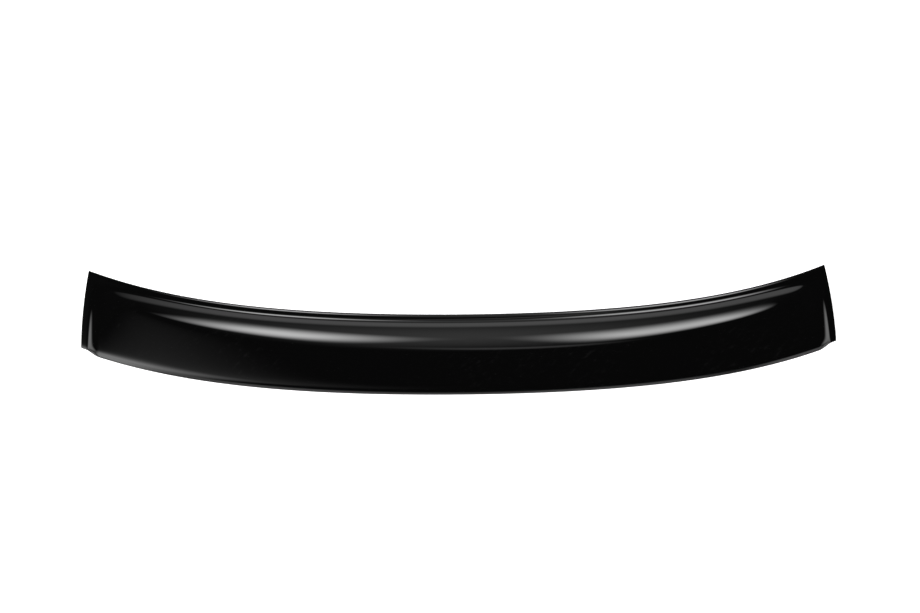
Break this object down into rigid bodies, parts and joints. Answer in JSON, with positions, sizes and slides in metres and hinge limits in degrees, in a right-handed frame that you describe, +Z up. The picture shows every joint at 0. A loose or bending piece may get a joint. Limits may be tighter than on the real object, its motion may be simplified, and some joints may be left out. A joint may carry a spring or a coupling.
{
  "type": "rear window spoiler",
  "caption": "Bowed glossy black visor spoiler for the top of a car's rear window, a formed plastic shell with bonding flanges, a scooped front face and a rounded trailing lip.",
  "frame": {"origin": "centre of the bounding box on the level surface that the trimmed lower edge of the trailing lip rests on", "axes": "+X across the car, +Y towards the front edge that meets the roof, +Z up"},
  "size_m": [1.182, 0.2483, 0.0485],
  "materials": {
    "gloss_black": "high gloss black, smooth formed sheet"
  },
  "bodies": {
    "root": {"spoiler_shell": "gloss_black"}
  },
  "joints": []
}
